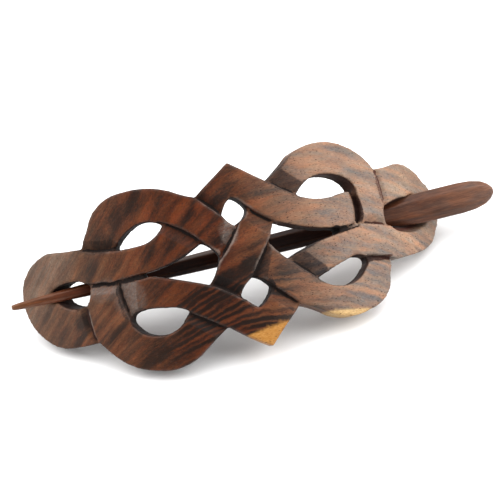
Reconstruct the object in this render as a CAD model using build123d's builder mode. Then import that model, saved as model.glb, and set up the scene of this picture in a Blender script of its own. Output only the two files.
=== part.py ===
from build123d import *
import math
import os

# Carved wooden barrette: an arched plaque pierced as one endless interlaced knot,
# and the straight tapered stick that is pushed through its two end holes.
# All sizes are in millimetres.
# World axes: X runs along the barrette towards the stick's handle, Y away from the
# viewer, Z up. The origin is under the middle of the two pieces, on the surface
# they lie on. The plaque lies rolled over onto its front corners, as it comes to rest.

# Driving dimensions of the plaque
plaque_length = 115.2
plaque_width = 47.4
arch_rise = 24.5
plaque_thickness = 5.0

# Driving dimensions of the carving
ramp_depth = 1.5
groove_width = 1.2
groove_depth = 1.2

# Driving dimensions of the stick
stick_length = 132.6
handle_width = 8.2
handle_thickness = 3.8
stick_clearance = 0.3
handle_lift = 1.3

# Room given to cutting tools beyond the faces they pass
overrun = 1.0

# The plaque is bent round an axis that runs across it. Its outer face has this radius.
half_chord = plaque_length / 2
arch_radius = (half_chord**2 + arch_rise**2) / (2 * arch_rise)
inner_radius = arch_radius - plaque_thickness
half_sweep = math.asin(half_chord / arch_radius)
half_width = plaque_width / 2

# Outer edge of the plaque, clockwise from the tip of the far corner.
# Each row is (middle along, middle across, end along, end across) of an arc, or
# (end along, end across) of a straight stretch. Along is a share in percent of half
# the outer face's arc length, across is a share in percent of half the width.
outline = [
    (6, 84.5, 12.5, 70.5),
    (19, 81, 26, 94),
    (34, 99.5, 43.5, 98),
    (53, 87, 59.5, 73),
    (62, 64, 63.2, 58.5),
    (68, 58, 76, 59.7),
    (88, 50.5, 94.5, 32.5),
    (100, 3, 95, -21.5),
    (90, -34, 82, -42),
    (72, -44.3, 60.7, -43.6),
    (57.5, -56, 55.5, -70.5),
    (51, -82.5, 42.5, -90),
    (34, -92, 25, -84),
    (19, -73, 13.1, -65),
    (7.5, -76.8, -2.3, -100),
    (-9.5, -86, -17.2, -68.2),
    (-23, -77, -29.5, -88),
    (-37.5, -96.3, -48, -94),
    (-57, -84, -63, -70.5),
    (-66.5, -59, -69.3, -48.4),
    (-77, -48, -85, -45),
    (-93, -31.5, -98, -13),
    (-100, 12, -97, 38),
    (-91, 51.5, -82.5, 59),
    (-74, 55, -67.5, 53),
    (-64.5, 62, -60.5, 79),
    (-55, 92.5, -44, 98.5),
    (-35, 96, -26, 86.5),
    (-21, 78, -17, 73),
    (-1, 100),
]

# Pierced openings between the strands, in the same shares.
upper_left_hole = [
    (-50.3, 51, -43, 61.3),
    (-37, 61.3, -32.2, 53.5),
    (-35, 45.5, -42.5, 39),
    (-48.5, 39.4, -54, 41),
]
upper_right_hole = [
    (27, 58.5, 32.5, 65),
    (40.5, 63.5, 46.7, 56.5),
    (50.2, 47.3, 51.3, 37.3),
    (47.5, 39.3, 43, 39.8),
    (35, 38.5, 30, 41),
    (26.5, 44, 23.5, 48),
]
lower_left_hole = [
    (-54.3, -35, -53.2, -43.6),
    (-50, -53, -44.3, -59),
    (-38.5, -59, -34, -53),
    (-32, -47, -30.3, -41.5),
    (-33.5, -36, -39.4, -31.5),
    (-45.5, -28, -52.5, -28.8),
]
lower_right_hole = [
    (30.5, -36.5, 39, -30.8),
    (44.5, -30, 47.3, -33.5),
    (47.5, -39, 45.5, -46),
    (42, -54, 36.5, -58.5),
    (29.5, -56, 23, -44),
]
far_hole = [
    (0.3, 56.5, 2.2, 47.5),
    (0.6, 40.5, -2.4, 35.5),
    (-4.4, 33.3),
    (-6.8, 39, -8.5, 46),
    (-7.3, 54, -3.2, 64),
]
near_hole = [
    (-7.5, -32.5, -2.3, -23.5),
    (1.2, -29.5, 4, -39),
    (1.7, -48, -3.5, -57.5),
    (-6.8, -49.5, -9.5, -40.5),
]
middle_left_hole = [
    (-32, 13, -19.6, 25),
    (-15.5, 16.5, -13.4, 6.5),
    (-15.8, -8, -20.2, -21.3),
    (-29, -10, -42, 4.3),
    (-44.8, 6.5, -45.5, 10),
]
middle_right_hole = [
    (20.5, 16.8, 30, 8.6),
    (34, 6.6, 37.8, 4.8),
    (38.9, 0.3, 38, -2.5),
    (25, -7, 13, -16),
    (9.5, -5, 7.2, 6.5),
    (8.8, 17, 11.8, 27.8),
]
left_end_hole = [
    (-81, 22, -75, 22.5),
    (-70.5, 19.5, -67.7, 13.5),
    (-67.8, 4, -70.3, -7),
    (-74, -8.3, -78.5, -5),
    (-83.5, 5.5, -85.5, 17),
]
right_end_hole = [
    (70, 20.5, 79.5, 21.3),
    (86.5, 15, 90, 3.5),
    (89.5, -9, 85, -17),
    (79.5, -20.8, 72.5, -18.8),
    (66.5, -12.5, 63.7, -6),
    (62.2, 5.5, 64, 16.5),
]

# Three openings have walls on a slant, and another outline on the inner face. The two
# end ones narrow there, cut along the stick, and the lower right one is undercut.
# Each row goes with the same row of the outer face's outline.
lower_right_throat = [
    (30.5, -36.5, 39.5, -31.2),
    (46.3, -30.8, 49.6, -34.3),
    (49.8, -40, 47.4, -46.3),
    (43.2, -54.3, 37, -58.5),
    (29.5, -56, 23, -44),
]
left_end_throat = [
    (-78.5, 20.5, -75, 21.5),
    (-70.5, 19, -68, 13.5),
    (-68, 4, -70.5, -6),
    (-74, -7, -77.5, -3.5),
    (-81, 6.5, -80.7, 17),
]
right_end_throat = [
    (70, 15.5, 77.5, 16),
    (83, 12.5, 85.5, 4),
    (84.5, -3, 81.5, -6.5),
    (76.5, -7.5, 71, -6.5),
    (67, -4.5, 64, -1.5),
    (63, 5, 63.8, 11.5),
]
holes = [
    upper_left_hole,
    upper_right_hole,
    lower_left_hole,
    far_hole,
    near_hole,
    middle_left_hole,
    middle_right_hole,
]
slanted_holes = [
    (lower_right_hole, lower_right_throat),
    (left_end_hole, left_end_throat),
    (right_end_hole, right_end_throat),
]

# Edges of the strand that passes over at each crossing. The strand that passes under
# is cut down beside them in a slope, on the left of the direction of travel.
# Each row is start, middle and end in the same shares, along and across in turn, and
# runs a little way past the strand into the open on both sides. Then come the slope's
# reach in millimetres at the start and at the end, and its depth as a share in percent
# of the usual one.
ramps = [
    (10.5, 76.5, 17.2, 60.3, 25.5, 46.2, 5.2, 4.2, 100),
    (13.6, 24, 6.3, 39.7, 1.2, 53.5, 3.8, 3.0, 100),
    (-21.8, -18.7, -15, -30.5, -8.4, -46, 2.8, 3.2, 100),
    (-15.7, -73.5, -22.8, -58, -32.3, -39.5, 3.4, 2.8, 100),
    (-69.4, -52.5, -70.6, -28, -69.8, -2.5, 1.6, 2.2, 80),
    (-55.7, 7.4, -55.7, -10, -53.8, -36, 6.2, 2.6, 100),
    (-70.3, 55.2, -62, 45.5, -51.4, 41.6, 2.6, 3.2, 100),
    (-55.2, 8.6, -62, 12.5, -69.8, 17, 2.8, 3.2, 100),
    (-18.3, 76.5, -13, 60, -7, 42, 2.2, 3.2, 100),
    (-17.6, 22, -24.6, 44, -33.8, 59.5, 3.4, 3.4, 100),
    (12.1, -12, 18, -30.5, 24.8, -47, 4.4, 4.4, 100),
    (14.6, -67.5, 8, -48.8, 2.6, -34, 3.0, 3.0, 100),
    (48.6, 2.4, 55.5, -1.5, 65.3, -8.3, 2.4, 2.4, 80),
    (63.3, -45.5, 55, -36, 45.6, -32.3, 2.2, 2.6, 110),
    (49, 2.4, 51.2, 20, 50.5, 41.5, 2.6, 3.0, 175),
    (63.3, 62.5, 64.1, 38, 63.7, 12, 1.5, 1.8, 70),
    (-14.8, -1, -9, 12.5, -2.4, 36, 1.2, 3.8, 100),
    (7.6, 11.5, 2.2, -5.5, -4.5, -27.4, 1.2, 4.4, 100),
]
ramp_steps = 4

# Narrow grooves where two legs of one strand lie side by side: start and end shares.
grooves = [
    (-44, 7.2, -55.9, 7.6),
    (36.5, 0.2, 48.5, 2.5),
]

# Sections of the stick: percent of its length from the tip, of the handle's width and
# of the handle's thickness. Its corners are cut off by the two shares below.
stick_stations = [
    (0, 14, 26),
    (1.5, 20, 34),
    (13.5, 37, 62),
    (37.5, 56, 88),
    (56.5, 63.5, 94),
    (74, 66, 94),
    (77, 70, 96),
    (79.5, 82, 98),
    (82.5, 94, 100),
    (86, 98, 100),
    (93, 99, 98),
    (95.7, 93, 96),
    (98, 75, 92),
    (99.3, 50, 84),
    (100, 24, 72),
]
corner_across = 0.22
corner_deep = 0.32

# Where the stick crosses the two end rims, in shares along and across.
left_rim_along = -85.5
left_rim_across = 11.5
right_rim_along = 90
right_rim_across = 4.5
left_rim_station = 7.75
right_rim_station = 85.7

# The balance point of the two pieces together: shares of half the chord along, of half
# the width across and of the arch's rise below the crown.
balance_along = 0.01
balance_across = 0.04
balance_deep = 0.39
first_roll = 44.0
first_pitch = 0.0
search_step = 2.0
search_end = 0.005
samples = 8


def angle_of(along):
    """Angle round the arch's axis of a share along the outer face."""
    return along / 100 * half_sweep


def across_of(across):
    """Distance from the middle line of a share across the plaque."""
    return across / 100 * half_width


def outer_point(along, across):
    """Point on the outer face, in the plaque's own frame with the crown at zero."""
    angle = angle_of(along)
    return (arch_radius * math.sin(angle), across_of(across), arch_radius * (math.cos(angle) - 1))


def wall_point(share, lower_share, centre, level):
    """Point of a wall at a level over a centre angle, from its shares on both faces."""
    turn = angle_of(share[0]) - centre
    lower_turn = angle_of(lower_share[0]) - centre
    top = arch_radius * math.cos(turn) - arch_radius
    base = inner_radius * math.cos(lower_turn) - arch_radius
    part = (level - top) / (base - top)
    top_x = arch_radius * math.sin(turn)
    base_x = inner_radius * math.sin(lower_turn)
    top_y = across_of(share[1])
    base_y = across_of(lower_share[1])
    return (top_x + part * (base_x - top_x), top_y + part * (base_y - top_y))


def section_row(row, lower_row, centre, level):
    """A table row of each face as points in a flat section between them."""
    shares = zip(row[0::2], row[1::2])
    lower_shares = zip(lower_row[0::2], lower_row[1::2])
    return [wall_point(share, lower, centre, level) for share, lower in zip(shares, lower_shares)]


def trace(table, lower_table, centre, level):
    """Draw a closed outline of arcs and straight stretches into the open line block."""
    start = section_row(table[-1], lower_table[-1], centre, level)[-1]
    for row, lower_row in zip(table, lower_table):
        points = section_row(row, lower_row, centre, level)
        if len(points) == 2:
            ThreePointArc(start, points[0], points[1])
        else:
            Line(start, points[0])
        start = points[-1]


def circle_through(first, middle, last):
    """Centre, radius, start angle and signed sweep of the arc through three points."""
    ax, ay = first
    bx, by = middle
    cx, cy = last
    twist = 2 * (ax * (by - cy) + bx * (cy - ay) + cx * (ay - by))
    a2 = ax**2 + ay**2
    b2 = bx**2 + by**2
    c2 = cx**2 + cy**2
    px = (a2 * (by - cy) + b2 * (cy - ay) + c2 * (ay - by)) / twist
    py = (a2 * (cx - bx) + b2 * (ax - cx) + c2 * (bx - ax)) / twist
    begin = math.atan2(ay - py, ax - px)
    finish = math.atan2(cy - py, cx - px)
    sweep = (finish - begin) % (2 * math.pi)
    if twist < 0:
        sweep = sweep - 2 * math.pi
    return (px, py), math.hypot(ax - px, ay - py), begin, sweep


def underside_points():
    """Points along the lower rim of the outer edge, in the plaque's own frame."""
    found = []
    start = section_row(outline[-1], outline[-1], 0, 0)[-1]
    for row in outline:
        points = section_row(row, row, 0, 0)
        if len(points) == 2:
            centre, radius, begin, sweep = circle_through(start, points[0], points[1])
            for count in range(samples):
                turn = begin + sweep * count / samples
                reach = centre[0] + radius * math.cos(turn)
                found.append((reach, centre[1] + radius * math.sin(turn)))
        start = points[-1]
        found.append(start)
    lower = []
    for reach, across in found:
        angle = math.atan(reach / arch_radius)
        lower.append((inner_radius * math.sin(angle), across, inner_radius * math.cos(angle) - arch_radius))
    return lower


def up_direction(roll, pitch):
    """The world's up direction seen from the plaque that is rolled and pitched."""
    roll = math.radians(roll)
    pitch = math.radians(pitch)
    return (
        math.sin(pitch),
        math.sin(roll) * math.cos(pitch),
        math.cos(roll) * math.cos(pitch),
    )


def dot(first, second):
    """Scalar product of two triples."""
    return sum(a * b for a, b in zip(first, second))


rim_points = underside_points()
balance_point = (balance_along * half_chord, balance_across * half_width, -balance_deep * arch_rise)


def balance_height(roll, pitch):
    """Height of the balance point over the lowest point of the plaque."""
    up = up_direction(roll, pitch)
    return dot(balance_point, up) - min(dot(point, up) for point in rim_points)


# The plaque comes to rest where its balance point is lowest.
rest_roll = first_roll
rest_pitch = first_pitch
step = search_step
while step > search_end:
    tries = []
    for roll_turn in (-1, 0, 1):
        for pitch_turn in (-1, 0, 1):
            roll = rest_roll + roll_turn * step
            pitch = rest_pitch + pitch_turn * step / 4
            tries.append((balance_height(roll, pitch), roll, pitch))
    height, roll, pitch = min(tries)
    if (roll, pitch) == (rest_roll, rest_pitch):
        step = step / 2
    rest_roll = roll
    rest_pitch = pitch

# World directions written in the plaque's own frame, and the other way round.
world_z = up_direction(rest_roll, rest_pitch)
flat = math.sqrt(1 - world_z[0] ** 2)
world_x = (flat, -world_z[0] * world_z[1] / flat, -world_z[0] * world_z[2] / flat)
world_y = (
    world_z[1] * world_x[2] - world_z[2] * world_x[1],
    world_z[2] * world_x[0] - world_z[0] * world_x[2],
    world_z[0] * world_x[1] - world_z[1] * world_x[0],
)


def stick_thickness(station):
    """Thickness of the stick at a share of its length."""
    for low, high in zip(stick_stations, stick_stations[1:]):
        if low[0] <= station <= high[0]:
            part = (station - low[0]) / (high[0] - low[0])
            return (low[2] + part * (high[2] - low[2])) / 100 * handle_thickness
    return handle_thickness


# Line of the stick through the points where it crosses the two rims.
left_rim = outer_point(left_rim_along, left_rim_across)
right_rim = outer_point(right_rim_along, right_rim_across)
left_pass = Vector(left_rim[0], left_rim[1], left_rim[2] + stick_thickness(left_rim_station) / 2)
right_pass = Vector(
    right_rim[0],
    right_rim[1],
    right_rim[2] + handle_lift + stick_thickness(right_rim_station) / 2,
)
stick_line = (right_pass - left_pass).normalized()
stick_tip = left_pass - stick_line * (stick_length * left_rim_station / 100)
stick_end = stick_tip + stick_line * stick_length

# Extents of the two pieces in world directions put the origin under their middle.
tip_triple = (stick_tip.X, stick_tip.Y, stick_tip.Z)
end_triple = (stick_end.X, stick_end.Y, stick_end.Z)
top_points = [
    (x * arch_radius / inner_radius, y, (z + arch_radius) * arch_radius / inner_radius - arch_radius)
    for x, y, z in rim_points
]
all_points = rim_points + top_points + [tip_triple, end_triple]
reach_x = [dot(point, world_x) for point in all_points]
reach_y = [dot(point, world_y) for point in all_points]
reach_z = [dot(point, world_z) for point in all_points]
lie = Plane(
    origin=(
        -(min(reach_x) + max(reach_x)) / 2,
        -(min(reach_y) + max(reach_y)) / 2,
        -min(reach_z),
    ),
    x_dir=(world_x[0], world_y[0], world_z[0]),
    z_dir=(world_x[2], world_y[2], world_z[2]),
)


def turned(vector):
    """A direction of the plaque's own frame in world axes."""
    return lie.x_dir * vector[0] + lie.y_dir * vector[1] + lie.z_dir * vector[2]


def own_plane(origin, x_dir, z_dir):
    """A plane given in the plaque's own frame."""
    return Plane(origin=lie.from_local_coords(Vector(origin)), x_dir=turned(x_dir), z_dir=turned(z_dir))


def radial_plane(centre, level):
    """Plane that touches the outer face at an angle, raised by a level."""
    radius = arch_radius + level
    return own_plane(
        (radius * math.sin(centre), 0, radius * math.cos(centre) - arch_radius),
        (math.cos(centre), 0, -math.sin(centre)),
        (math.sin(centre), 0, math.cos(centre)),
    )


def hole_centre(table):
    """Angle of the middle of an opening."""
    ends = [angle_of(row[-2]) for row in table]
    return (min(ends) + max(ends)) / 2


def hole_depth(table):
    """Depth under the touching plane that clears the inner face of an opening."""
    ends = [angle_of(row[-2]) for row in table]
    spread = (max(ends) - min(ends)) / 2 * 1.2
    return arch_radius - inner_radius * math.cos(spread) + overrun


def on_tangent(along, across, centre_along, centre_across):
    """Offset of a point from a centre point, in the plane that touches there."""
    turn = angle_of(along) - angle_of(centre_along)
    return (arch_radius * math.sin(turn), across_of(across) - across_of(centre_across))


def stick_section(station, extra):
    """Corners of the eight-sided section at a row of the table, grown by an extra."""
    half_across = station[1] / 200 * handle_width + extra
    half_deep = station[2] / 200 * handle_thickness + extra
    inset = half_across * (1 - 2 * corner_across)
    shoulder = half_deep * (1 - 2 * corner_deep)
    return [
        (half_across, shoulder),
        (inset, half_deep),
        (-inset, half_deep),
        (-half_across, shoulder),
        (-half_across, -shoulder),
        (-inset, -half_deep),
        (inset, -half_deep),
        (half_across, -shoulder),
    ]


def stick_plane(station):
    """Plane square to the stick at a row of the table: x across, y away from the arch's axis."""
    centre = stick_tip + stick_line * (stick_length * station[0] / 100)
    side = Vector(0, 0, 1).cross(stick_line).normalized()
    return own_plane(
        (centre.X, centre.Y, centre.Z),
        (side.X, side.Y, side.Z),
        (stick_line.X, stick_line.Y, stick_line.Z),
    )


lowest_level = inner_radius * math.cos(half_sweep) - arch_radius - overrun

with BuildPart() as knot_plaque:
    # Bent blank: a sector of a ring, seen from the near side.
    with BuildSketch(own_plane((0, 0, -arch_radius), (1, 0, 0), (0, -1, 0))):
        with BuildLine():
            spread = half_sweep + overrun / arch_radius
            CenterArc((0, 0), arch_radius, 90 - math.degrees(spread), 2 * math.degrees(spread))
            CenterArc((0, 0), inner_radius, 90 - math.degrees(spread), 2 * math.degrees(spread))
            for side in (-1, 1):
                Line(
                    (side * inner_radius * math.sin(spread), inner_radius * math.cos(spread)),
                    (side * arch_radius * math.sin(spread), arch_radius * math.cos(spread)),
                )
        make_face()
    extrude(amount=half_width + overrun, both=True)
    # The outer edge stands square to the outer face all the way round.
    with BuildSketch(own_plane((0, 0, overrun), (1, 0, 0), (0, 0, 1))):
        with BuildLine():
            trace(outline, outline, 0, overrun)
        make_face()
    with BuildSketch(own_plane((0, 0, lowest_level), (1, 0, 0), (0, 0, 1))):
        with BuildLine():
            trace(outline, outline, 0, lowest_level)
        make_face()
    loft(ruled=True, mode=Mode.INTERSECT)
    # Pierced openings.
    for table, lower_table in [(hole, hole) for hole in holes] + slanted_holes:
        centre = hole_centre(table)
        depth = hole_depth(table)
        with BuildSketch(radial_plane(centre, overrun)):
            with BuildLine():
                trace(table, lower_table, centre, overrun)
            make_face()
        with BuildSketch(radial_plane(centre, -depth)):
            with BuildLine():
                trace(table, lower_table, centre, -depth)
            make_face()
        loft(ruled=True, mode=Mode.SUBTRACT)
    # Slopes on the strands that dip under.
    for row in ramps:
        base = radial_plane(angle_of(row[2]), 0)
        first = on_tangent(row[0], row[1], row[2], row[3])
        last = on_tangent(row[4], row[5], row[2], row[3])
        centre, radius, begin, sweep = circle_through(first, (0, 0), last)
        side = -1 if sweep > 0 else 1
        middle = Vector(base.origin) + base.y_dir * across_of(row[3])
        pivot = middle + base.x_dir * centre[0] + base.y_dir * centre[1]
        deep = ramp_depth * row[8] / 100
        for count in range(ramp_steps + 1):
            part = count / ramp_steps
            turn = begin + sweep * part
            spoke = base.x_dir * math.cos(turn) + base.y_dir * math.sin(turn)
            outward = spoke * side
            reach = (row[6] + part * (row[7] - row[6])) * (1 + overrun / deep)
            foot = Plane(
                origin=pivot + spoke * radius,
                x_dir=outward,
                z_dir=outward.cross(base.z_dir),
            )
            with BuildSketch(foot):
                with BuildLine():
                    Polyline((0, overrun), (0, -deep), (reach, overrun), close=True)
                make_face()
        loft(ruled=True, mode=Mode.SUBTRACT)
    # Grooves between legs that lie side by side.
    for row in grooves:
        base = radial_plane(angle_of((row[0] + row[2]) / 2), 0)
        middle = ((row[0] + row[2]) / 2, (row[1] + row[3]) / 2)
        first = on_tangent(row[0], row[1], middle[0], middle[1])
        last = on_tangent(row[2], row[3], middle[0], middle[1])
        corner = Vector(base.origin) + base.y_dir * across_of(middle[1])
        start = corner + base.x_dir * first[0] + base.y_dir * first[1]
        run = base.x_dir * (last[0] - first[0]) + base.y_dir * (last[1] - first[1])
        wide = groove_width / 2 * (1 + overrun / groove_depth)
        with BuildSketch(Plane(origin=start, x_dir=run.cross(base.z_dir), z_dir=run)):
            with BuildLine():
                Polyline((-wide, overrun), (wide, overrun), (0, -groove_depth), close=True)
            make_face()
        extrude(amount=run.length, mode=Mode.SUBTRACT)
    # Worn seats and eased undersides that let the stick through.
    for station in stick_stations:
        with BuildSketch(stick_plane(station)):
            with BuildLine():
                Polyline(*stick_section(station, stick_clearance), close=True)
            make_face()
    loft(ruled=True, mode=Mode.SUBTRACT)

with BuildPart() as hair_stick:
    for station in stick_stations:
        with BuildSketch(stick_plane(station)):
            with BuildLine():
                Polyline(*stick_section(station, 0), close=True)
            make_face()
    loft(ruled=True)

knot_plaque.part.label = "knot_plaque"
hair_stick.part.label = "hair_stick"

os.makedirs("parts", exist_ok=True)
export_step(knot_plaque.part, "parts/knot_plaque.step")
export_step(hair_stick.part, "parts/hair_stick.step")
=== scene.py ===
import math

import bpy
import numpy as np
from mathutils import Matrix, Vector


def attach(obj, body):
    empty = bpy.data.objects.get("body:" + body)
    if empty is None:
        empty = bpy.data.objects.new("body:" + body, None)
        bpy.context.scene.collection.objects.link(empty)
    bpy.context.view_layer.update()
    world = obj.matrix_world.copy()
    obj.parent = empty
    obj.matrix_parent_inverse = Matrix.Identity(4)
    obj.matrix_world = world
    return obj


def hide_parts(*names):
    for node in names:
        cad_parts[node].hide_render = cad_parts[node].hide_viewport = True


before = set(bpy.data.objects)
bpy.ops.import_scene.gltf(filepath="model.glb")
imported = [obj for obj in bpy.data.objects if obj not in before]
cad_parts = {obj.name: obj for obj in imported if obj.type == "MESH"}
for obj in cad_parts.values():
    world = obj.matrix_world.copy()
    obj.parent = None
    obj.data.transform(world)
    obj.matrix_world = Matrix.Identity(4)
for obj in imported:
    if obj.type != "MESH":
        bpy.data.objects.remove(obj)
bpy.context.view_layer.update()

# The plaque's own frame, repeated from the CAD in metres: the crown of the arch is at
# CROWN, its length runs along own X, its width along own Y, and own Z leaves the crown.
ARCH_RADIUS = 0.07996
ROLL = math.radians(44.36)
PITCH = math.radians(-0.42)
CROWN = np.array((-0.00518, -0.00435, 0.02301))
UP_IN_OWN = (math.sin(PITCH), math.sin(ROLL) * math.cos(PITCH), math.cos(ROLL) * math.cos(PITCH))
# The stick's line in the world, from the tip towards the handle
STICK_LINE = np.array((0.99978, -0.01413, -0.01579))
MM = 1000.0
# How the growth layers climb across the plaque, with lengths in millimetres: the slope at
# the middle, how much it changes towards each end, and over which distance
MIDDLE_CLIMB = 0.20
CLIMB_CHANGE = 0.78
CLIMB_REACH = 30.0
# How much steeper the layers get left of a place, how softly that starts, and what share
# of it stays on the near side of a slanting line
LEFT_CLIMB = 0.42
LEFT_START = -18.0
LEFT_SOFTNESS = 6.0
NEAR_SHARE = 0.1
LINE_SLOPE = 0.7
LINE_START = -30.0
LINE_SPAN = (-12.0, 6.0)
# How much the layers fan out at the left, and between which places that grows
FAN = 0.45
FAN_SPAN = (-5.0, -45.0)
# How the climb grows across the plaque near its middle, and where that ends
TWIST = 0.022
TWIST_TOP = 4.0
TWIST_REACH = 10.0
# How far the layers lean as they go down into the wood
LEAN = 0.6
# Where a streak and a spot begin and reach full strength, in shares of their half sizes
STREAK_EDGE = (1.25, 0.35)
SPOT_EDGE = (1.15, 0.75)
# Heights in millimetres of the sanded waves and of the chisel's facets
WAVE_HEIGHT = 0.012
FACET_HEIGHT = 0.07
FACET_MIDDLE = 0.6


def world_axes():
    """The world's X, Y and Z written in the plaque's own frame, as rows."""
    up = np.array(UP_IN_OWN)
    side = np.array((1.0, 0.0, 0.0)) - up[0] * up
    side /= np.linalg.norm(side)
    return np.array((side, np.cross(up, side), up))


AXES = world_axes()


def plan_places(points):
    """World points as millimetres along the outer face, across it and under it."""
    own = (points - CROWN) @ AXES
    turn = np.arctan2(own[:, 0], own[:, 2] + ARCH_RADIUS)
    depth = ARCH_RADIUS - np.hypot(own[:, 0], own[:, 2] + ARCH_RADIUS)
    return np.stack((turn * ARCH_RADIUS, own[:, 1], depth), axis=1) * MM


def outward(points):
    """Directions that leave the outer face squarely, in the world."""
    own = (points - CROWN) @ AXES
    turn = np.arctan2(own[:, 0], own[:, 2] + ARCH_RADIUS)
    rays = np.stack((np.sin(turn), np.zeros(len(turn)), np.cos(turn)), axis=1)
    return rays @ AXES.T


# Shapes


def read_vectors(items, key):
    """A vector property of mesh items as an array."""
    values = np.empty(len(items) * 3, np.float32)
    items.foreach_get(key, values)
    return values.reshape(-1, 3).astype(float)


def neighbour_mean(mesh):
    """A function that replaces each vertex's value by the mean of its neighbours'."""
    ends = np.empty(len(mesh.edges) * 2, np.int32)
    mesh.edges.foreach_get("vertices", ends)
    one, other = ends.reshape(-1, 2).T
    size = len(mesh.vertices)
    number = np.bincount(one, minlength=size) + np.bincount(other, minlength=size)

    def mean(values):
        spread = [
            np.bincount(one, column[other], size) + np.bincount(other, column[one], size)
            for column in values.T
        ]
        return np.array(spread).T / number[:, None]

    return mean


def softened(values, mean, rounds):
    """One value a vertex, averaged with its neighbours' a few times."""
    column = values[:, None]
    for _ in range(rounds):
        column = mean(column)
    return column[:, 0]


def relief(points, normals, mean, rounds, voxel):
    """How far each point lies under (+) or over (-) its surroundings, in voxels."""
    level = points
    for _ in range(rounds):
        level = mean(level)
    return ((level - points) * normals).sum(axis=1) / voxel


def move_vertices(mesh, points):
    """Put a mesh's vertices at new points, none of them under the floor."""
    points[:, 2] = np.maximum(points[:, 2], 0.0)
    mesh.vertices.foreach_set("co", points.astype(np.float32).ravel())
    mesh.update()


def worn_copy(node, name, voxel, rounds, swell):
    """A remeshed copy of a CAD node whose arrises are worn round."""
    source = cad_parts[node]
    piece = bpy.data.objects.new(name, source.data.copy())
    bpy.context.scene.collection.objects.link(piece)
    remesh = piece.modifiers.new("remesh", "REMESH")
    remesh.mode = "VOXEL"
    remesh.voxel_size = voxel
    remesh.use_smooth_shade = True
    smooth = piece.modifiers.new("smooth", "SMOOTH")
    smooth.factor = 0.5
    smooth.iterations = rounds
    graph = bpy.context.evaluated_depsgraph_get()
    mesh = bpy.data.meshes.new_from_object(piece.evaluated_get(graph))
    piece.modifiers.clear()
    piece.data = mesh
    mesh.materials.clear()
    points = read_vectors(mesh.vertices, "co")
    points += read_vectors(mesh.vertex_normals, "vector") * swell
    move_vertices(mesh, points)
    return piece, points


def slim(piece, share):
    """Keep only a share of a piece's triangles, with their vertex values."""
    thin = piece.modifiers.new("slim", "DECIMATE")
    thin.ratio = share
    graph = bpy.context.evaluated_depsgraph_get()
    mesh = bpy.data.meshes.new_from_object(piece.evaluated_get(graph))
    piece.modifiers.clear()
    piece.data = mesh


def put_vectors(mesh, name, values):
    """Store one vector for each vertex."""
    layer = mesh.attributes.new(name, "FLOAT_VECTOR", "POINT")
    layer.data.foreach_set("vector", values.astype(np.float32).ravel())


def soft_step(values, low, high):
    """0 under low, 1 over high, smooth between; low may be the larger one."""
    share = np.clip((values - low) / (high - low), 0.0, 1.0)
    return share * share * (3 - 2 * share)


def layer_level(plan):
    """Which growth layer of the wood a place of the plaque belongs to, in millimetres.

    The layers climb across the left half, lie along the middle and sink at the right."""
    along, across, depth = plan.T
    climb = MIDDLE_CLIMB * along - CLIMB_CHANGE * CLIMB_REACH * np.log(np.cosh(along / CLIMB_REACH))
    past = along - LEFT_START
    steeper = (np.hypot(past, LEFT_SOFTNESS) - past) / 2
    farther = soft_step(across - LINE_SLOPE * (along - LINE_START), *LINE_SPAN)
    climb -= LEFT_CLIMB * (NEAR_SHARE + (1 - NEAR_SHARE) * farther) * steeper
    climb += TWIST * np.minimum(across, TWIST_TOP) * TWIST_REACH * np.tanh(along / TWIST_REACH)
    fanned = 1 + FAN * soft_step(along, *FAN_SPAN)
    return across * fanned - climb + LEAN * depth


def figure(plan, rows):
    """How far soft streaks that follow the wood's layers cover each place.

    A row is: along, across, half length, half width (millimetres), strength."""
    level = layer_level(plan)
    cover = np.zeros(len(plan))
    for along, across, length, width, strength in rows:
        near = np.array([(along, across, 0.0), (along + 1, across, 0.0), (along, across + 1, 0.0)])
        middle, ahead, beside = layer_level(near)
        rise = np.array((ahead - middle, beside - middle))
        steep = np.linalg.norm(rise)
        run = ((plan[:, 0] - along) * rise[1] - (plan[:, 1] - across) * rise[0]) / steep
        reach = np.hypot(run / length, (level - middle) / (steep * width))
        cover = np.maximum(cover, strength * soft_step(reach, *STREAK_EDGE))
    return cover


def spots(plan, rows):
    """How far soft spots cover each place, with rows as for the streaks."""
    cover = np.zeros(len(plan))
    for along, across, length, width, strength in rows:
        reach = np.hypot((plan[:, 0] - along) / length, (plan[:, 1] - across) / width)
        cover = np.maximum(cover, strength * soft_step(reach, *SPOT_EDGE))
    return cover


def hand_marks(plan, cut):
    """Unevenness of hand work in millimetres: low waves where sanded, facets where cut."""
    along, across, depth = plan.T
    waves = np.sin(0.90 * along + 0.5 * across + 2.0 * np.sin(0.31 * across))
    waves += np.sin(0.70 * across - 0.4 * along + 1.7 * np.sin(0.23 * along) + 0.8 * depth)
    facets = np.abs(np.sin(1.3 * across + 0.9 * along + 0.7 * depth + 1.5 * np.sin(0.6 * along)))
    return WAVE_HEIGHT * waves - FACET_HEIGHT * cut * (facets - FACET_MIDDLE)


# Shader nodes


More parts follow.
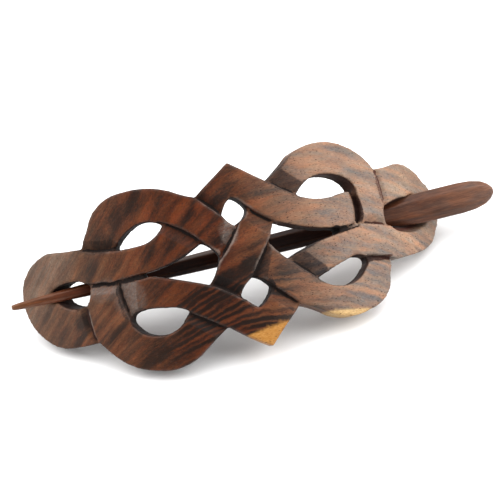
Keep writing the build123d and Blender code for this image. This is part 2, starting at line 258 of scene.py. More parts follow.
class Tree:
    """A material's node tree; each call adds nodes and gives their output back."""

    def __init__(self, name):
        self.material = bpy.data.materials.new(name)
        self.material.use_nodes = True
        self.tree = self.material.node_tree
        self.shader = self.tree.nodes["Principled BSDF"]

    def plug(self, socket, value):
        if isinstance(value, bpy.types.NodeSocket):
            self.tree.links.new(value, socket)
        else:
            socket.default_value = value

    def attribute(self, name):
        node = self.tree.nodes.new("ShaderNodeAttribute")
        node.attribute_name = name
        return node.outputs["Vector"]

    def parts(self, vector):
        node = self.tree.nodes.new("ShaderNodeSeparateXYZ")
        self.plug(node.inputs[0], vector)
        return node.outputs

    def vector(self, *values):
        node = self.tree.nodes.new("ShaderNodeCombineXYZ")
        for socket, value in zip(node.inputs, values):
            self.plug(socket, value)
        return node.outputs[0]

    def maths(self, operation, *values):
        node = self.tree.nodes.new("ShaderNodeMath")
        node.operation = operation
        for socket, value in zip(node.inputs, values):
            self.plug(socket, value)
        return node.outputs[0]

    def plus(self, one, other):
        return self.maths("ADD", one, other)

    def minus(self, one, other):
        return self.maths("SUBTRACT", one, other)

    def times(self, one, other):
        return self.maths("MULTIPLY", one, other)

    def scaled(self, vector, scale):
        node = self.tree.nodes.new("ShaderNodeVectorMath")
        node.operation = "MULTIPLY"
        self.plug(node.inputs[0], vector)
        self.plug(node.inputs[1], scale)
        return node.outputs[0]

    def noise(self, vector, scale, detail=2.0, roughness=0.5):
        node = self.tree.nodes.new("ShaderNodeTexNoise")
        self.plug(node.inputs["Vector"], self.scaled(vector, scale))
        self.plug(node.inputs["Scale"], 1.0)
        self.plug(node.inputs["Detail"], detail)
        self.plug(node.inputs["Roughness"], roughness)
        return node.outputs["Fac"]

    def cells(self, vector, scale):
        node = self.tree.nodes.new("ShaderNodeTexVoronoi")
        self.plug(node.inputs["Vector"], self.scaled(vector, scale))
        self.plug(node.inputs["Scale"], 1.0)
        return node.outputs["Distance"], node.outputs["Color"]

    def span(self, value, low, high, start=0.0, end=1.0):
        node = self.tree.nodes.new("ShaderNodeMapRange")
        node.interpolation_type = "SMOOTHSTEP"
        for key, number in (("Value", value), ("From Min", low), ("From Max", high)):
            self.plug(node.inputs[key], number)
        self.plug(node.inputs["To Min"], start)
        self.plug(node.inputs["To Max"], end)
        return node.outputs[0]

    def mix(self, share, below, above, kind="MIX"):
        node = self.tree.nodes.new("ShaderNodeMix")
        node.data_type = "RGBA"
        node.blend_type = kind
        self.plug(node.inputs["Factor"], share)
        for key, value in (("A", below), ("B", above)):
            socket = [one for one in node.inputs if one.name == key and one.type == "RGBA"][0]
            self.plug(socket, value)
        return [one for one in node.outputs if one.type == "RGBA"][0]

    def centred(self, value, reach):
        """A value between 0 and 1 spread evenly round zero."""
        return self.times(self.minus(value, 0.5), reach)

    def tinted(self, wood, share, low, high):
        """A colour multiplied by a tint that runs from low to high."""
        return self.mix(1.0, wood, self.mix(share, low, high), "MULTIPLY")

    def darkened(self, wood, share, tint):
        """A colour multiplied by a tint as far as the share says."""
        return self.tinted(wood, share, WHITE, tint)

    def ramp(self, value, stops):
        node = self.tree.nodes.new("ShaderNodeValToRGB")
        self.plug(node.inputs[0], value)
        elements = node.color_ramp.elements
        while len(elements) < len(stops):
            elements.new(1.0)
        for element, (place, tint) in zip(elements, stops):
            element.position = place
            element.color = (*tint, 1.0)
        return node.outputs["Color"]

    def bump(self, height, strength, distance):
        node = self.tree.nodes.new("ShaderNodeBump")
        self.plug(node.inputs["Height"], height)
        self.plug(node.inputs["Strength"], strength)
        self.plug(node.inputs["Distance"], distance)
        self.plug(self.shader.inputs["Normal"], node.outputs["Normal"])


def colour(red, green, blue):
    """A colour socket's value."""
    return (red, green, blue, 1.0)


WHITE = colour(1.0, 1.0, 1.0)

# Places in the colour ramps, from millimetres along the plaque
RAMP_HALF = 64.0


def ramp_stops(rows):
    """Ramp stops from rows of millimetres along and red, green, blue."""
    return [((row[0] + RAMP_HALF) / (2 * RAMP_HALF), row[1:]) for row in rows]


# The wood's colours between the dark layers and inside them: millimetres along the plaque,
# red, green, blue
BRIGHT_WOOD = (
    (-64, 0.180, 0.108, 0.070),
    (-52, 0.143, 0.065, 0.032),
    (-38, 0.138, 0.050, 0.021),
    (-22, 0.104, 0.025, 0.0068),
    (-8, 0.088, 0.021, 0.0066),
    (2, 0.122, 0.042, 0.017),
    (11, 0.158, 0.075, 0.041),
    (20, 0.252, 0.131, 0.074),
    (36, 0.275, 0.158, 0.097),
    (50, 0.310, 0.181, 0.110),
    (62, 0.240, 0.142, 0.086),
)
DARK_WOOD = (
    (-64, 0.060, 0.034, 0.023),
    (-52, 0.028, 0.0140, 0.0085),
    (-38, 0.018, 0.0080, 0.0045),
    (-12, 0.0090, 0.0032, 0.0016),
    (0, 0.0110, 0.0055, 0.0036),
    (12, 0.048, 0.032, 0.025),
    (24, 0.112, 0.086, 0.072),
    (45, 0.120, 0.090, 0.074),
    (62, 0.098, 0.062, 0.045),
)
# Streaks and spots: along, across, half length, half width in millimetres, strength
DARK_STREAKS = (
    (-54.0, -7.5, 4.0, 1.3, 0.70),
    # The next row is a painted shadow under the lower left loop's edge, not a streak
    (-47.5, -5.5, 3.0, 2.6, 1.00),
    (-49.5, -9.6, 4.5, 1.3, 0.70),
    (-57.0, -1.0, 4.0, 0.9, 0.50),
    (-25.0, -3.4, 4.0, 1.2, 0.60),
    (-34.0, -12.0, 4.0, 1.4, 0.55),
    (-41.5, 6.5, 4.5, 1.6, 0.65),
    (-34.0, 6.0, 4.5, 1.2, 0.40),
    (-25.5, 6.5, 4.5, 1.0, 0.65),
    (-20.0, 7.0, 3.0, 1.2, 0.60),
    (-49.0, 9.0, 4.0, 1.5, 0.35),
    (-37.0, 13.0, 3.5, 3.0, 0.55),
    (-31.5, 18.0, 4.5, 1.4, 0.80),
    (-26.0, 20.5, 5.0, 1.9, 0.80),
    (-20.5, 18.2, 4.0, 1.0, 0.45),
    (-13.5, 13.0, 4.5, 1.0, 0.85),
    (-8.0, 5.5, 2.5, 2.5, 0.70),
    (-39.0, -10.5, 4.5, 1.2, 0.60),
    (-31.0, -16.0, 5.0, 1.2, 0.80),
    (-31.0, -18.9, 6.5, 2.2, 0.95),
    (-27.0, -1.2, 4.0, 0.8, 0.45),
    (-24.0, -20.5, 8.0, 1.2, 0.80),
    (-4.5, 16.0, 4.0, 1.6, 0.60),
    (1.0, 1.8, 4.0, 0.9, 0.70),
    (-4.0, -4.5, 4.0, 1.8, 0.80),
    (8.0, 13.8, 6.0, 1.0, 0.55),
    (7.5, -5.5, 4.0, 3.2, 0.75),
    (14.8, -5.0, 4.0, 3.0, 0.70),
    (30.5, 20.5, 6.0, 1.3, 0.80),
    (36.0, 13.0, 6.0, 1.2, 0.70),
    (36.0, 6.0, 5.0, 1.2, 0.60),
    (24.0, 6.0, 6.0, 3.0, 0.45),
    (18.0, -3.0, 6.0, 1.6, 0.70),
    (38.0, -3.5, 12.0, 1.0, 0.55),
    (52.0, -7.5, 6.0, 0.8, 0.50),
    (33.0, -13.0, 5.0, 3.0, 0.40),
    (-1.5, -3.0, 4.5, 2.6, 1.05),
    (-8.5, -4.2, 3.5, 2.2, 0.90),
    (-18.0, -6.5, 5.0, 1.0, 0.60),
    (48.0, 10.8, 3.5, 0.9, 0.70),
    (-10.0, -9.0, 6.0, 2.5, 0.55),
    (-2.0, 18.0, 4.0, 1.4, 0.60),
    (28.0, -18.6, 7.0, 0.8, 0.60),
    (45.5, 11.5, 4.0, 0.9, 0.70),
    (56.0, 8.5, 5.0, 1.0, 0.45),
)
BRIGHT_STREAKS = (
    (-48.0, -10.6, 4.0, 1.0, 0.55),
    (-57.0, 3.0, 4.0, 4.0, 0.50),
    (-38.0, 8.0, 3.0, 1.0, 0.45),
    (-30.5, 4.5, 4.0, 1.3, 0.70),
    (-22.5, 8.5, 3.0, 0.9, 0.60),
    (-24.0, 16.7, 5.0, 1.4, 0.75),
    (-15.5, 14.8, 5.0, 1.3, 1.00),
    (-10.5, 15.0, 2.5, 1.3, 0.80),
    (-11.0, 10.5, 4.0, 1.3, 0.70),
    (-37.0, -7.0, 3.5, 1.4, 0.70),
    (-41.0, -5.0, 3.0, 1.6, 0.45),
    (-24.0, -4.5, 6.0, 1.4, 0.70),
    (-30.0, -19.0, 5.0, 0.9, 0.25),
    (-1.0, 4.2, 4.5, 1.1, 0.95),
    (-6.0, -1.5, 4.0, 1.2, 0.60),
    (2.0, 20.0, 4.0, 1.6, 0.70),
    (5.0, 12.0, 5.0, 1.4, 0.80),
    (12.0, 6.5, 4.0, 1.4, 0.90),
    (19.0, 19.5, 6.0, 1.8, 0.95),
    (25.0, 17.0, 7.0, 1.3, 0.90),
    (35.0, 16.0, 4.0, 1.2, 0.70),
    (36.5, 9.5, 4.0, 1.2, 0.80),
    (33.0, -2.5, 9.0, 1.3, 0.95),
    (46.0, -5.5, 7.0, 1.5, 0.90),
    (48.0, 7.3, 6.0, 1.8, 1.00),
    (27.0, -16.3, 8.0, 0.8, 0.80),
    (20.0, -11.0, 4.0, 1.2, 0.70),
)
# Cut slopes given painted shade where they turn away from the lamps, and a painted grey sheen where
# they face them
SHADED_SLOPES = (
    (13.0, 16.0, 6.0, 6.5, 0.95),
    (14.0, -6.5, 6.0, 6.0, 1.00),
    (-16.0, 8.0, 6.0, 5.5, 0.45),
    (-8.5, -5.5, 4.0, 4.0, 0.70),
    (-17.0, -14.0, 7.0, 5.0, 0.55),
    (-10.0, 15.0, 4.0, 5.0, 0.50),
    (3.0, -3.0, 4.5, 6.0, 0.85),
    (3.0, 8.0, 4.5, 4.5, 0.50),
    (4.0, -12.5, 4.5, 4.5, 0.65),
    (-46.0, -3.5, 3.0, 3.5, 0.70),
    (-39.0, 12.5, 5.5, 3.0, 0.55),
)
SHEEN_SLOPES = (
    (-33.4, -2.8, 4.4, 5.2, 0.90),
    (-39.5, 0.8, 4.4, 3.0, 0.75),
    (-4.9, 6.6, 2.4, 3.4, 1.00),
    (27.0, 5.0, 5.0, 5.0, 0.35),
)
# Places where the arrises are paler from wear and a painted highlight
WORN_AND_LIT_EDGES = (
    (-5.0, 2.5, 5.5, 7.0, 1.0),
    (3.0, -1.5, 4.0, 6.0, 1.0),
    (0.5, 12.5, 2.5, 3.5, 0.6),
)
# The openings, whose walls get painted shade over their darker end grain
OPENINGS = (
    (-52.0, 1.5, 8.5, 5.5, 1.0),
    (-27.0, 12.0, 8.5, 5.5, 1.0),
    (-27.0, -10.0, 9.0, 6.0, 1.0),
    (-15.0, 1.5, 10.0, 6.0, 1.0),
    (-2.3, 11.3, 5.0, 5.5, 1.0),
    (-1.5, -9.8, 5.5, 6.0, 1.0),
    (14.0, 1.0, 12.0, 6.0, 1.0),
    (24.5, 11.5, 10.5, 6.5, 1.0),
    (22.5, -10.0, 9.5, 6.0, 1.0),
    (48.0, 0.5, 9.5, 6.5, 1.0),
)
# Places painted dark as shade, with grime in the cuts
GRIME_AND_SHADE_SPOTS = (
    (25.5, 0.4, 2.6, 0.9, 1.00),
    (-40.5, 2.6, 3.0, 0.6, 0.90),
    (-36.3, 1.9, 3.0, 0.6, 0.90),
    (-32.5, 1.7, 3.0, 0.7, 0.95),
    (-29.0, 1.6, 3.0, 0.7, 0.95),
    (-36.0, -0.6, 0.8, 2.0, 0.75),
    (-35.9, -3.4, 0.9, 2.2, 0.70),
    (-35.5, -6.2, 1.0, 2.0, 0.65),
    (-31.5, -6.6, 2.0, 0.9, 0.60),
    (-34.2, 10.3, 1.6, 0.6, 0.80),
    (41.0, 13.0, 0.9, 1.0, 0.90),
    (40.8, 8.5, 0.9, 4.6, 0.70),
    (0.3, 11.2, 1.2, 0.9, 0.70),
    (2.2, -9.0, 1.2, 2.0, 0.90),
    (30.5, -8.9, 4.2, 0.9, 0.85),
    (35.8, -9.4, 3.6, 0.7, 0.85),
    (32.2, 4.8, 1.2, 4.4, 0.90),
    (23.5, 0.6, 1.6, 1.2, 1.00),
    (-1.6, -5.6, 1.6, 1.0, 0.80),
)
# Grain: marks for each millimetre along the plaque, across it and from layer to layer
SWAY = (0.05, 0.07, 0.10)
RIPPLE = (0.22, 0.30, 0.45)
BANDS = (0.03, 0.05, 0.26)
STREAKS = (0.11, 0.18, 0.65)
DRIFT = (0.12, 0.30, 0.70)
ASH = (0.10, 0.22, 0.50)
MOTTLE = (0.8, 1.4, 2.0)
HAIRS = (1.0, 2.4, 3.2)
PORES = (1.0, 2.0, 2.2)
POLISH = (0.1, 0.4, 0.9)
RING_TURNS = 3.3
# How much each kind of mark darkens the wood, and how far it swings the layers
BAND_WEIGHT = 1.0
MOTTLE_WEIGHT = 0.90
DARK_STREAK_WEIGHT = 0.48
BRIGHT_STREAK_WEIGHT = 0.45
RING_WEIGHT = 0.66
RING_REST = 0.10
SWAY_SWING = 3.0
RIPPLE_SWING = 1.6
PORE_REACH = 0.42
# Places along the plaque, in millimetres, between which its wood changes
LIGHTER_RIGHT = (12.0, -12.0)
STREAKY_RIGHT = (-20.0, 5.0)
ASHEN_RIGHT = (2.0, 26.0)
CREAMY_RIGHT = (8.0, 16.0)
POROUS_RIGHT = (-40.0, 20.0)
# Where the painted shade with grime in the grooves turns redder, at the right and at the left
RED_GRIME_AND_SHADE_RIGHT = (27.0, 45.0)
RED_GRIME_AND_SHADE_LEFT = (-43.0, -48.0)
RINGS_LEFT = (-31.0, -14.0)
RINGS_RIGHT = (12.0, 2.0)
# The rings' upper end, in millimetres across the plaque
RINGS_TOP = (-3.5, -8.0)
# How far the ramps' places slant at the left end, and where that begins
SLANT = 1.2
SLANT_LEFT = (-34.0, -52.0)
# Colours that the wood turns to
DARK_SAPWOOD = colour(0.29, 0.120, 0.022)
PALE_SAPWOOD = colour(0.40, 0.195, 0.052)
DARK_CREAM = colour(0.36, 0.22, 0.085)
PALE_CREAM = colour(0.52, 0.35, 0.16)
# Painted grey sheen on cut slopes that face the lamps
DARK_SLOPE_SHEEN = colour(0.058, 0.047, 0.043)
PALE_SLOPE_SHEEN = colour(0.145, 0.108, 0.086)
# Painted shade with grime in grooves and recesses
GRIME_AND_SHADE = colour(0.008, 0.0040, 0.003)
LEFT_GRIME_AND_SHADE = colour(0.030, 0.010, 0.006)
RIGHT_GRIME_AND_SHADE = colour(0.060, 0.018, 0.011)
# Paler arrises: wear with a painted highlight
PALE_WEAR_AND_HIGHLIGHT = colour(0.20, 0.155, 0.130)
# Tints that the wood is multiplied by, in pairs where it swings between two
HAIR_TINTS = (colour(0.80, 0.78, 0.76), colour(1.20, 1.20, 1.20))
DRIFT_TINTS = (colour(0.95, 1.04, 1.08), colour(1.08, 0.96, 0.89))
ASH_TINT = colour(0.80, 1.01, 1.28)
PORE_TINT = colour(0.20, 0.16, 0.15)
# Painted shade on cut slopes that turn away from the lamps
SLOPE_SHADE_TINT = colour(0.31, 0.35, 0.44)
# Painted shade on walls, over their darker end grain
WALL_GRAIN_AND_SHADE_TINT = colour(0.14, 0.075, 0.062)
# The oiled wood's gloss: roughness from smooth to rough places, what the cuts add to it,
# and the specular level
ROUGHNESS = (0.32, 0.42)
CUT_ROUGHNESS = 0.4
SPECULAR = 0.17
# Strength and depth in metres of the hairs and pores
GRAIN_STRENGTH = 0.35
GRAIN_DEPTH = 0.00012


class PlaqueWood(Tree):
    """Dark rosewood whose layers cross the plaque, with sapwood on the near edge."""

    def __init__(self):
        super().__init__("carved_rosewood")
        grain = self.attribute("grain")
        self.along, across, level = self.parts(grain)
        sway = self.noise(grain, SWAY, 2.0)
        self.ripple = self.noise(grain, RIPPLE, 3.0)
        swing = self.plus(self.centred(sway, SWAY_SWING), self.centred(self.ripple, RIPPLE_SWING))
        self.level = self.plus(level, swing)
        self.fibre = self.vector(self.along, across, self.level)
        self.mottle = self.noise(self.fibre, MOTTLE, 3.0, 0.8)
        self.hairs = self.noise(self.fibre, HAIRS, 2.0, 0.7)
        self.pores = self.pore_marks()
        # Painted shade with grime in grooves, arrises paled by wear and painted highlight, painted
        # shade on walls
        self.hollow, self.arris, self.wall = self.parts(self.attribute("form"))
        # Painted shade on slopes, painted sheen on slopes, and sapwood
        self.dark_slope, self.pale_slope, sapwood = self.parts(self.attribute("zone"))

        wood = self.mix(sapwood, self.heartwood(), self.sapwood_colour())
        pore_share = self.times(self.pores, self.span(self.along, *POROUS_RIGHT, 0.45, 0.90))
        wood = self.darkened(wood, pore_share, PORE_TINT)
        self.plug(self.shader.inputs["Base Color"], self.worked(wood))
        self.polish()

    def shade(self):
        """How dark the heartwood is, from 0 to 1."""
        dark_streak, bright_streak, ringed = self.parts(self.attribute("figure"))
        bands = self.noise(self.fibre, BANDS, 2.0, 0.5)
        streaks = self.noise(self.fibre, STREAKS, 2.0, 0.5)
        rings = self.maths("SINE", self.times(self.level, RING_TURNS))
        rings = self.maths("MULTIPLY_ADD", rings, 0.5, 0.5)
        rings = self.minus(self.times(rings, self.span(bands, 0.25, 0.50)), RING_REST)
        shade = self.span(self.along, *LIGHTER_RIGHT, 0.42, 0.56)
        shade = self.plus(shade, self.centred(bands, BAND_WEIGHT))
        weight = self.span(self.along, *STREAKY_RIGHT, 0.50, 0.80)
        weight = self.minus(weight, self.times(ringed, 0.35))
        shade = self.plus(shade, self.times(self.centred(streaks, 1.0), weight))
        shade = self.plus(shade, self.centred(self.mottle, MOTTLE_WEIGHT))
        shade = self.plus(shade, self.times(dark_streak, DARK_STREAK_WEIGHT))
        shade = self.minus(shade, self.times(bright_streak, BRIGHT_STREAK_WEIGHT))
        shade = self.plus(shade, self.times(rings, self.times(ringed, RING_WEIGHT)))
        return self.span(shade, -0.05, 1.05)

    def heartwood(self):
        """The layers' colour, greyer at the right, with fine hairs and a drifting hue."""
        tone = self.parts(self.attribute("tone"))[0]
        place = self.maths("DIVIDE", self.plus(tone, RAMP_HALF), 2 * RAMP_HALF)
        bright = self.ramp(place, ramp_stops(BRIGHT_WOOD))
        dark = self.ramp(place, ramp_stops(DARK_WOOD))
        wood = self.mix(self.shade(), bright, dark)
        ash = self.span(self.noise(self.fibre, ASH, 3.0, 0.65), 0.42, 0.66)
        ash = self.times(ash, self.span(self.along, *ASHEN_RIGHT, 0.0, 0.55))
        wood = self.mix(ash, wood, self.mix(1.0, wood, ASH_TINT, "MULTIPLY"))
        wood = self.tinted(wood, self.span(self.hairs, 0.25, 0.75), *HAIR_TINTS)
        drift = self.span(self.noise(self.fibre, DRIFT, 2.0, 0.6), 0.35, 0.65)
        return self.tinted(wood, drift, *DRIFT_TINTS)

    def sapwood_colour(self):
        """Amber at the middle corner and cream farther right."""
        fine = self.span(self.hairs, 0.3, 0.7)
        amber = self.mix(fine, DARK_SAPWOOD, PALE_SAPWOOD)
        cream = self.mix(fine, DARK_CREAM, PALE_CREAM)
        return self.mix(self.span(self.along, *CREAMY_RIGHT), amber, cream)

    def pore_marks(self):
        """Short dark pores of many sizes that follow the fibres."""
        distance, cell = self.cells(self.fibre, PORES)
        size = self.span(self.parts(cell)[0], 0.15, 1.0)
        reach = self.maths("MAXIMUM", self.times(size, PORE_REACH), 0.001)
        return self.span(self.maths("DIVIDE", distance, reach), 1.0, 0.4)

    def worked(self, wood):
        """What the cuts get: painted shade and sheen on slopes, painted shade on walls, painted shade
        with grime in grooves, and arrises paled by wear and painted highlight.
        """
        # Painted shade in patches on cut slopes that turn away from the lamps
        slope_shade = self.times(self.dark_slope, self.span(self.ripple, 0.40, 0.62, 1.0, 0.78))
        wood = self.darkened(wood, slope_shade, SLOPE_SHADE_TINT)
        # Painted grey sheen on cut slopes that face the lamps
        painted_sheen = self.mix(self.span(self.hairs, 0.32, 0.68), DARK_SLOPE_SHEEN, PALE_SLOPE_SHEEN)
        sheen_share = self.times(self.pale_slope, self.span(self.mottle, 0.38, 0.58, 0.35, 0.85))
        wood = self.mix(sheen_share, wood, painted_sheen)
        # Painted shade on walls, over their darker end grain
        wood = self.darkened(wood, self.wall, WALL_GRAIN_AND_SHADE_TINT)
        # Painted shade with grime in grooves and recesses, redder towards the ends
        grime_and_shade = self.mix(self.span(self.along, *RED_GRIME_AND_SHADE_RIGHT), GRIME_AND_SHADE, RIGHT_GRIME_AND_SHADE)
        grime_and_shade = self.mix(self.span(self.along, *RED_GRIME_AND_SHADE_LEFT), grime_and_shade, LEFT_GRIME_AND_SHADE)
        grime_and_shade_share = self.span(self.plus(self.hollow, self.centred(self.mottle, 0.9)), 0.25, 0.85)
        wood = self.mix(self.times(grime_and_shade_share, self.span(self.hollow, 0.0, 0.15)), wood, grime_and_shade)
        # Arrises paled by wear and a painted highlight
        return self.mix(self.arris, wood, PALE_WEAR_AND_HIGHLIGHT)

    def polish(self):
        """A satin gloss that is duller in the cuts, with hairs and pores to the touch."""
        rough = self.span(self.noise(self.fibre, POLISH, 3.0), 0.3, 0.7, *ROUGHNESS)
        cut = self.maths("MAXIMUM", self.hollow, self.wall)
        cut = self.maths("MAXIMUM", cut, self.span(self.dark_slope, 0.0, 0.3))
        rough = self.plus(rough, self.times(cut, CUT_ROUGHNESS))
        self.plug(self.shader.inputs["Roughness"], rough)
        self.shader.inputs["Specular IOR Level"].default_value = SPECULAR
        height = self.minus(self.times(self.hairs, 0.5), self.pores)
        self.bump(height, GRAIN_STRENGTH, GRAIN_DEPTH)


# The stick's length in millimetres, and its colours from the tip to the handle's end
STICK_LENGTH = 133.0
STICK_COLOURS = (
    (0.00, (0.138, 0.050, 0.018)),
    (0.10, (0.084, 0.022, 0.008)),
    (0.24, (0.048, 0.011, 0.005)),
    (0.34, (0.026, 0.008, 0.004)),
    (0.62, (0.022, 0.008, 0.006)),
    (0.74, (0.082, 0.029, 0.014)),
    (0.88, (0.096, 0.040, 0.022)),
    (1.00, (0.155, 0.077, 0.048)),
)
STICK_STREAKS = (0.10, 1.2, 1.2)
STICK_HAIRS = (0.30, 3.5, 3.5)
STICK_DRIFT = (0.10, 0.30, 0.30)
STREAK_TINT = colour(0.52, 0.50, 0.54)
STICK_HAIR_TINTS = (colour(0.80, 0.79, 0.78), colour(1.18, 1.18, 1.18))
STICK_DRIFT_TINTS = (colour(0.80, 0.88, 0.98), colour(1.12, 1.00, 0.88))
# Painted sheen on the stick's upper side
STICK_SHEEN = colour(0.135, 0.100, 0.088)
# Paler arrises on the stick: wear with a painted highlight
STICK_ARRIS_WEAR_AND_HIGHLIGHT = colour(0.20, 0.10, 0.06)
STICK_ROUGHNESS = (0.30, 0.42)
STICK_GRAIN_STRENGTH = 0.3
STICK_GRAIN_DEPTH = 0.0001


class StickWood(Tree):
    """Darker rosewood with its grain along the stick."""

    def __init__(self):
        super().__init__("dark_rosewood")
        grain = self.attribute("grain")
        sheen, arris, _ = self.parts(self.attribute("form"))
        streaks = self.span(self.noise(grain, STICK_STREAKS, 5.0, 0.75), 0.35, 0.68)
        hairs = self.noise(grain, STICK_HAIRS, 3.0, 0.7)
        place = self.maths("DIVIDE", self.parts(grain)[0], STICK_LENGTH)
        plain = self.ramp(place, STICK_COLOURS)
        wood = self.mix(streaks, plain, self.mix(1.0, plain, STREAK_TINT, "MULTIPLY"))
        drift = self.span(self.noise(grain, STICK_DRIFT, 3.0, 0.6), 0.38, 0.62)
        wood = self.tinted(wood, drift, *STICK_DRIFT_TINTS)
        wood = self.tinted(wood, self.span(hairs, 0.3, 0.7), *STICK_HAIR_TINTS)
        # Painted sheen on the upper side
        wood = self.mix(self.times(sheen, 0.8), wood, STICK_SHEEN)
        # Arrises paled by wear and a painted highlight
        wood = self.mix(self.times(arris, 0.4), wood, STICK_ARRIS_WEAR_AND_HIGHLIGHT)
        self.plug(self.shader.inputs["Base Color"], wood)
        self.plug(self.shader.inputs["Roughness"], self.span(hairs, 0.3, 0.7, *STICK_ROUGHNESS))
        self.shader.inputs["Specular IOR Level"].default_value = SPECULAR
        self.bump(hairs, STICK_GRAIN_STRENGTH, STICK_GRAIN_DEPTH)


# The plaque: how finely it is remeshed, how often smoothed, how far it then swells in
# metres, and the share of its triangles that is kept
PLAQUE_VOXEL = 0.00034
PLAQUE_ROUNDS = 2
PLAQUE_SWELL = 0.0001
PLAQUE_SHARE = 0.62
# How squarely a surface faces outward, from 0 to 1: where a face turns into a cut slope,
# where a slope turns into a wall, and from where on it is seen from outside
SLOPE_SPAN = (0.993, 0.978)
WALL_SPAN = (0.85, 0.40)
OUTWARD = 0.4
# Smoothing rounds that tell grooves and arrises from their surroundings, and how many
# voxels under or over these they lie
GROOVE_ROUNDS = 12
ARRIS_ROUNDS = 3
GROOVE_SPAN = (0.12, 0.50)
ARRIS_SPAN = (-0.12, -0.30)
# Millimetres under the outer face where a surface gets painted shade, and how far it faces outward
DEEP_SPAN = (0.9, 2.4)
DEEP_FACING = (0.1, 0.4)
# How much arrises get wear and painted highlight: all of them, those at worn places, those near grooves
WEAR_AND_HIGHLIGHT_ALL = 0.06
WEAR_AND_HIGHLIGHT_WORN = 0.40
WEAR_AND_HIGHLIGHT_NEAR = 0.8
WEAR_AND_HIGHLIGHT_FACING = (0.3, 0.6)
NEAR_SPAN = (0.02, 0.12)
# The sapwood's edge: millimetres across at its farthest point, where that is along the
# plaque, and how fast the edge bends away from there
SAPWOOD_TOP = -18.7
SAPWOOD_MIDDLE = 6.0
SAPWOOD_BEND = 0.0058


def plaque_form(plan, points, normals, facing, mean):
    """Painted shade with grime in grooves, arrises paled by wear and painted highlight, and painted
    shade on walls over their end grain, each from 0 to 1.
    """
    hollow = softened(relief(points, normals, mean, GROOVE_ROUNDS, PLAQUE_VOXEL), mean, 2)
    near = soft_step(softened(np.maximum(hollow, 0.0), mean, 8), *NEAR_SPAN)
    edges = softened(relief(points, normals, mean, ARRIS_ROUNDS, PLAQUE_VOXEL), mean, 1)
    # Recess floors deep under the outer face get painted shade
    deep = soft_step(plan[:, 2], *DEEP_SPAN) * soft_step(facing, *DEEP_FACING)
    grime_and_shade_spotted = spots(plan, GRIME_AND_SHADE_SPOTS)
    worn_and_lit = spots(plan, WORN_AND_LIT_EDGES)
    wear_and_highlight = WEAR_AND_HIGHLIGHT_ALL + WEAR_AND_HIGHLIGHT_WORN * worn_and_lit + WEAR_AND_HIGHLIGHT_NEAR * (1 - worn_and_lit) * near
    wear_and_highlight *= soft_step(edges, *ARRIS_SPAN) * soft_step(facing, *WEAR_AND_HIGHLIGHT_FACING) * (1 - grime_and_shade_spotted)
    grooves = np.maximum.reduce((soft_step(hollow, *GROOVE_SPAN), 0.9 * deep, 0.9 * grime_and_shade_spotted))
    # Walls get painted shade, more in the openings, over their darker end grain
    walls = soft_step(np.abs(facing), *WALL_SPAN) * (0.25 + 0.75 * spots(plan, OPENINGS))
    return np.stack((grooves, wear_and_highlight, walls), axis=1)


def plaque_figure(plan):
    """Dark streaks, bright streaks and the rings near the lower edge, each from 0 to 1."""
    ringed = soft_step(plan[:, 1], *RINGS_TOP) * soft_step(plan[:, 0], *RINGS_LEFT)
    ringed *= 0.50 + 0.75 * soft_step(plan[:, 0], *RINGS_RIGHT)
    return np.stack((figure(plan, DARK_STREAKS), figure(plan, BRIGHT_STREAKS), ringed), axis=1)


def plaque_zones(plan, facing):
    """Slopes with painted shade, slopes with painted sheen, and sapwood, each from 0 to 1."""
    sloped = soft_step(facing, *SLOPE_SPAN)
    edge = SAPWOOD_TOP - SAPWOOD_BEND * (plan[:, 0] - SAPWOOD_MIDDLE) ** 2
    dark = spots(plan, SHADED_SLOPES) * sloped
    pale = spots(plan, SHEEN_SLOPES) * np.maximum(sloped, 0.6)
    return np.stack((dark, pale, soft_step(plan[:, 1] - edge, 0.35, -0.35)), axis=1)


def carved_plaque():
    """The plaque with worn arrises, hand marks and all that its wood reads."""
    piece, points = worn_copy(
        "knot_plaque", "knot_plaque_carved", PLAQUE_VOXEL, PLAQUE_ROUNDS, PLAQUE_SWELL
    )
    mesh = piece.data
    normals = read_vectors(mesh.vertex_normals, "vector")
    plan = plan_places(points)
    mean = neighbour_mean(mesh)
    facing = (normals * outward(points)).sum(axis=1)
    cut = soft_step(facing, *SLOPE_SPAN) * np.where(facing > OUTWARD, 1.0, spots(plan, OPENINGS))
    points += normals * hand_marks(plan, softened(cut, mean, 1))[:, None] / MM
    move_vertices(mesh, points)
    put_vectors(mesh, "grain", np.stack((plan[:, 0], plan[:, 1], layer_level(plan)), axis=1))
    put_vectors(mesh, "form", plaque_form(plan, points, normals, facing, mean))
    put_vectors(mesh, "figure", plaque_figure(plan))
    put_vectors(mesh, "zone", plaque_zones(plan, facing))
    tone = plan[:, 0] - SLANT * plan[:, 1] * soft_step(plan[:, 0], *SLANT_LEFT)
    put_vectors(mesh, "tone", np.stack((tone, tone, tone), axis=1))
    slim(piece, PLAQUE_SHARE)
    return piece


plaque = carved_plaque()
plaque.data.materials.append(PlaqueWood().material)
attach(plaque, "knot_plaque")
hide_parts("knot_plaque")

# The stick, with the same kinds of sizes
STICK_VOXEL = 0.00022
STICK_ROUNDS = 10
STICK_SWELL = 0.00012
STICK_ARRIS_SPAN = (-0.06, -0.25)
# The painted sheen on its upper side: millimetres from the tip where it starts and ends, how
# much a surface's turn to the back counts beside its turn upward, and how far it has to turn
SHEEN_START = (34.0, 42.0)
SHEEN_END = (66.0, 60.0)
SHEEN_BACK = 0.35
SHEEN_TURN = (0.90, 1.04)


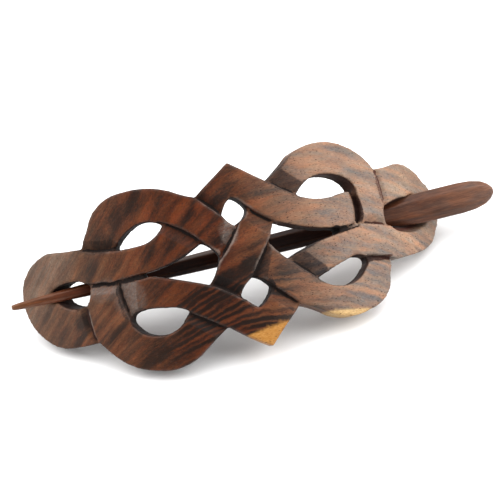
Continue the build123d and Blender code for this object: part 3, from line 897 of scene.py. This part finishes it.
def carved_stick():
    """The stick with worn arrises and all that its wood reads."""
    piece, points = worn_copy("hair_stick", "hair_stick_carved", STICK_VOXEL, STICK_ROUNDS, STICK_SWELL)
    mesh = piece.data
    normals = read_vectors(mesh.vertex_normals, "vector")
    mean = neighbour_mean(mesh)
    line = points @ STICK_LINE
    offset = points - np.outer(line, STICK_LINE)
    run = (line - line.min()) * MM
    put_vectors(mesh, "grain", np.stack((run, offset[:, 1] * MM, offset[:, 2] * MM), axis=1))
    # Painted sheen where the upper side turns towards the lamps
    upper = soft_step(normals[:, 2] + SHEEN_BACK * normals[:, 1], *SHEEN_TURN)
    sheen = upper * soft_step(run, *SHEEN_START) * soft_step(run, *SHEEN_END)
    arris = soft_step(relief(points, normals, mean, ARRIS_ROUNDS, STICK_VOXEL), *STICK_ARRIS_SPAN)
    put_vectors(mesh, "form", np.stack((sheen, arris, np.zeros(len(run))), axis=1))
    return piece


stick = carved_stick()
stick.data.materials.append(StickWood().material)
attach(stick, "hair_stick")
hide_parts("hair_stick")

# Floor
FLOOR_SIDE = 4
bpy.ops.mesh.primitive_plane_add(size=FLOOR_SIDE, location=(0, 0, 0))
floor = bpy.context.object
floor.name = "floor"
paper = Tree("paper")
paper.shader.inputs["Base Color"].default_value = colour(0.84, 0.84, 0.84)
paper.shader.inputs["Roughness"].default_value = 0.9
floor.data.materials.append(paper.material)

# Light, with an even glow from all sides
WORLD_STRENGTH = 0.43
scene = bpy.context.scene
scene.view_settings.view_transform = "Standard"
world = bpy.data.worlds.new("studio")
scene.world = world
world.use_nodes = True
world.node_tree.nodes["Background"].inputs["Color"].default_value = WHITE
world.node_tree.nodes["Background"].inputs["Strength"].default_value = WORLD_STRENGTH


def soft_light(name, place, target, width, height, power):
    """A rectangular area light that looks at a target."""
    lamp = bpy.data.lights.new(name, "AREA")
    lamp.shape = "RECTANGLE"
    lamp.size = width
    lamp.size_y = height
    lamp.energy = power
    holder = bpy.data.objects.new(name, lamp)
    scene.collection.objects.link(holder)
    holder.location = place
    aim = Vector(target) - Vector(place)
    holder.rotation_mode = "QUATERNION"
    holder.rotation_quaternion = aim.to_track_quat("-Z", "Y")


# Where the lights aim, then each one's name, place, width and height in metres, and watts
CENTRE = (0, 0, 0.01)
LIGHTS = (
    ("right_box", (0.60, -0.10, 0.46), 0.8, 0.8, 8.4),
    ("left_box", (-0.62, 0.16, 0.44), 0.8, 0.8, 6.7),
    ("top_box", (0.0, 0.22, 0.75), 1.2, 1.1, 8.8),
)
for name, place, width, height, power in LIGHTS:
    soft_light(name, place, CENTRE, width, height, power)

# Camera, at the place and angle found from the photograph
CAMERA_PLACE = (-0.0791, -0.27478, 0.27568)
CAMERA_TURN = (47.99, 3.594, -18.318)
LENS = 108
SENSOR = 36
lens = bpy.data.cameras.new("camera")
lens.lens = LENS
lens.sensor_width = SENSOR
lens.clip_start = 0.01
camera = bpy.data.objects.new("camera", lens)
camera.location = CAMERA_PLACE
camera.rotation_euler = [math.radians(turn) for turn in CAMERA_TURN]
scene.collection.objects.link(camera)
scene.camera = camera
